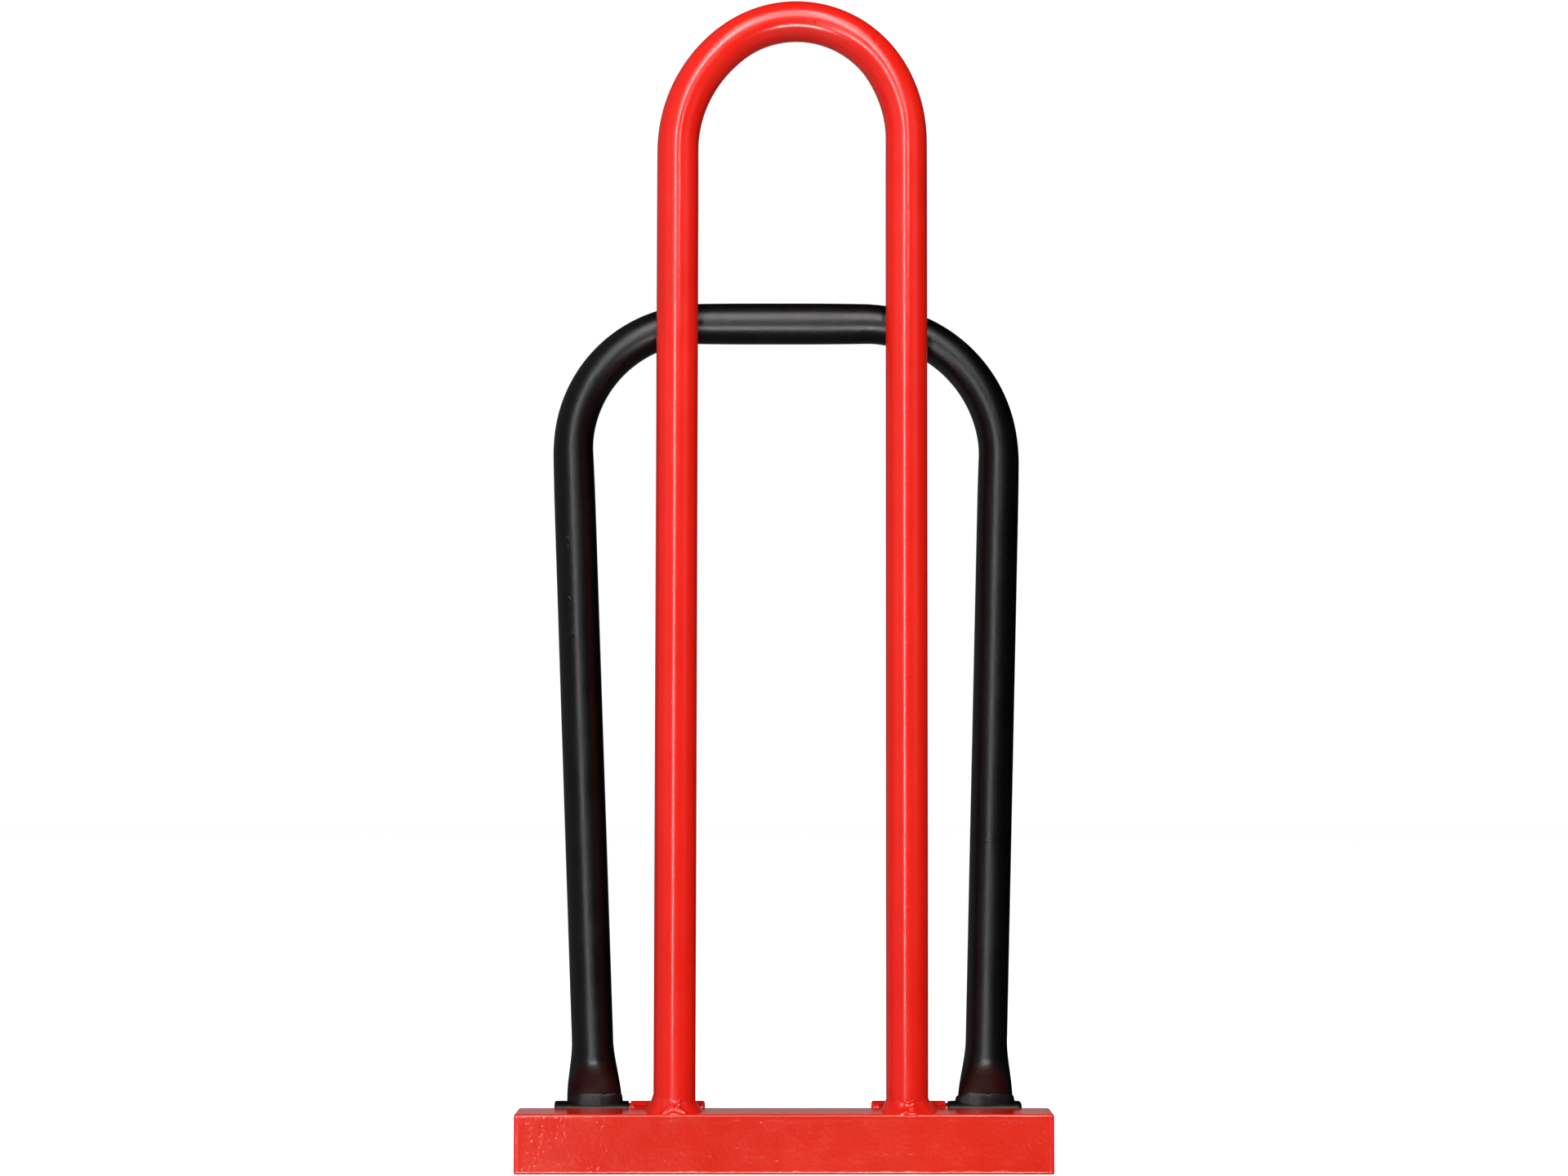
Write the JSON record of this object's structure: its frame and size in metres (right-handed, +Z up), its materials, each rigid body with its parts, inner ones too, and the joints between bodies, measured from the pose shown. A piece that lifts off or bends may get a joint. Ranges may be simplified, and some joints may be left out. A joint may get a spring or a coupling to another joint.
{
  "type": "hand truck",
  "caption": "Folding two-hoop hand truck frame: a tall tube hoop upright on a square foot bar, with a wider low hoop that swings back on weld-on barrel hinges.",
  "frame": {"origin": "middle of the foot bar's underside, on the floor", "axes": "+X along the foot bar to the right as seen from the front, +Y back from the front face of the bar towards the hinges, +Z up"},
  "size_m": [0.36, 0.0631, 0.7958],
  "materials": {
    "red_coat": "glossy orange-red powder coat with a light orange peel",
    "black_coat": "fine-textured satin black powder coat, lightly scuffed",
    "hinge_steel": "ground hinge pin steel",
    "hinge_brass": "plain turned brass washer"
  },
  "bodies": {
    "upright_frame": {"foot_bar": "red_coat", "end_plate_left": "red_coat", "end_plate_right": "red_coat", "end_plate_weld_left": "red_coat", "end_plate_weld_right": "red_coat", "upright_hoop": "red_coat", "upright_weld_left": "red_coat", "upright_weld_right": "red_coat", "hinge_sleeve_left": "red_coat", "hinge_sleeve_right": "red_coat", "sleeve_weld_left": "red_coat", "sleeve_weld_right": "red_coat", "hinge_pin_left": "hinge_steel", "hinge_pin_right": "hinge_steel", "hinge_washer_left": "hinge_brass", "hinge_washer_right": "hinge_brass"},
    "swing_frame": {"swing_hoop": "black_coat", "hinge_knuckle_left": "black_coat", "hinge_knuckle_right": "black_coat", "foot_weld_left": "black_coat", "foot_weld_right": "black_coat"}
  },
  "joints": [
    {"name": "hoop_swing", "type": "hinge", "parent": "upright_frame", "child": "swing_frame", "pos_m": [0, 0.02885, 0.0357], "axis": [-1, 0, 0], "range_deg": [0, 92.2]}
  ]
}
